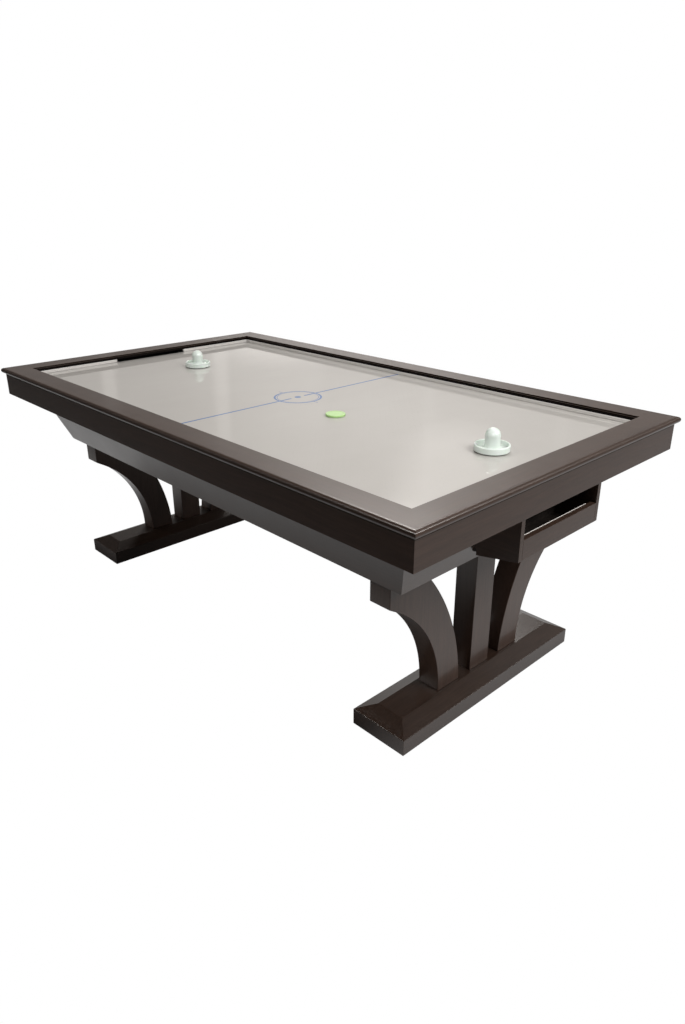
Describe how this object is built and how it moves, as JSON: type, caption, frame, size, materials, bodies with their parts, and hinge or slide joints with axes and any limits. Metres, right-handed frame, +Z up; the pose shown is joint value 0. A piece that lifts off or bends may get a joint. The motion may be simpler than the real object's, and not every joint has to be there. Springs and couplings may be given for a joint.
{
  "type": "air hockey table",
  "caption": "Full-size air hockey table with a bordered playing surface, tapered cabinet, goal boxes at both ends and two pedestals with curved legs.",
  "frame": {"origin": "on the floor under the middle of the table", "axes": "+X along the length towards the right-hand goal, +Y across the table towards its back long side, +Z up"},
  "size_m": [2.2066, 1.2536, 0.8525],
  "materials": {
    "espresso_wood": "semi-gloss espresso stain over fine straight grain, clear lacquer",
    "cushion_strip": "satin extruded strip",
    "playing_surface": "polished laminate, mirror-like at low angles",
    "plywood": "bare birch plywood",
    "dark_board": "flat dark stain",
    "black_steel": "fine-texture black powder coat",
    "zinc_steel": "bright zinc plate",
    "blower_plastic": "moulded, matt",
    "fan_plastic": "moulded, satin",
    "motor_case": "satin enamel",
    "switch_black": "satin moulded",
    "rocker_red": "gloss moulded",
    "puck_lime": "satin moulded polycarbonate",
    "striker_white": "gloss moulded, faint mint tint",
    "felt": "dense wool felt"
  },
  "bodies": {
    "table": {"side_rail_front": "espresso_wood", "side_rail_back": "espresso_wood", "end_rail_right": "espresso_wood", "end_rail_left": "espresso_wood", "side_apron_front": "espresso_wood", "side_apron_back": "espresso_wood", "end_apron_right": "espresso_wood", "end_apron_left": "espresso_wood", "cushion_front": "cushion_strip", "cushion_back": "cushion_strip", "cushion_right_front": "cushion_strip", "cushion_right_back": "cushion_strip", "cushion_left_front": "cushion_strip", "cushion_left_back": "cushion_strip", "playfield": "playing_surface", "plenum_deck": "plywood", "plenum_walls": "plywood", "plenum_joists": "plywood", "cabinet_side_front": "espresso_wood", "cabinet_side_back": "espresso_wood", "cabinet_end_right": "espresso_wood", "cabinet_end_left": "espresso_wood", "cabinet_bottom": "dark_board", "goal_front_right": "espresso_wood", "goal_front_left": "espresso_wood", "goal_cheeks_right": "espresso_wood", "goal_cheeks_left": "espresso_wood", "goal_floor_right": "dark_board", "goal_floor_left": "dark_board", "goal_chute_right": "black_steel", "goal_chute_left": "black_steel", "foot_right": "espresso_wood", "foot_left": "espresso_wood", "post_right": "espresso_wood", "post_left": "espresso_wood", "leg_right_front": "espresso_wood", "leg_right_back": "espresso_wood", "leg_left_front": "espresso_wood", "leg_left_back": "espresso_wood", "pedestal_plate_right": "black_steel", "pedestal_plate_left": "black_steel", "pedestal_bolts": "zinc_steel", "threaded_inserts": "zinc_steel", "blower_housing": "blower_plastic", "blower_motor": "motor_case", "intake_grille": "black_steel", "switch_body": "switch_black", "power_inlet": "switch_black"},
    "puck": {"puck": "puck_lime"},
    "striker_right": {"striker_right": "striker_white", "felt_right": "felt"},
    "striker_left": {"striker_left": "striker_white", "felt_left": "felt"},
    "fan_rotor": {"blower_impeller": "fan_plastic", "motor_shaft": "zinc_steel"},
    "rocker": {"switch_rocker": "rocker_red"},
    "leveler_right_front": {"leveler_right_front": "zinc_steel"},
    "leveler_right_back": {"leveler_right_back": "zinc_steel"},
    "leveler_left_front": {"leveler_left_front": "zinc_steel"},
    "leveler_left_back": {"leveler_left_back": "zinc_steel"}
  },
  "joints": [
    {"name": "puck_glide", "type": "slide", "parent": "table", "child": "puck", "axis": [1, 0, 0], "range_m": [-1.305, 0.517]},
    {"name": "striker_right_slide", "type": "slide", "parent": "table", "child": "striker_right", "axis": [0, 1, 0], "range_m": [-0.473, 0.479]},
    {"name": "striker_left_slide", "type": "slide", "parent": "table", "child": "striker_left", "axis": [0, 1, 0], "range_m": [-0.512, 0.44]},
    {"name": "fan_spin", "type": "hinge", "parent": "table", "child": "fan_rotor", "pos_m": [0, 0, 0.622], "axis": [0, 1, 0], "continuous": true},
    {"name": "rocker_tilt", "type": "hinge", "parent": "table", "child": "rocker", "pos_m": [0.26, 0.33, 0.5246], "axis": [0, 1, 0], "range_deg": [-8, 8]},
    {"name": "leveler_right_front_screw", "type": "slide", "parent": "table", "child": "leveler_right_front", "axis": [0, 0, -1], "range_m": [0, 0.012]},
    {"name": "leveler_right_back_screw", "type": "slide", "parent": "table", "child": "leveler_right_back", "axis": [0, 0, -1], "range_m": [0, 0.012]},
    {"name": "leveler_left_front_screw", "type": "slide", "parent": "table", "child": "leveler_left_front", "axis": [0, 0, -1], "range_m": [0, 0.012]},
    {"name": "leveler_left_back_screw", "type": "slide", "parent": "table", "child": "leveler_left_back", "axis": [0, 0, -1], "range_m": [0, 0.012]}
  ]
}
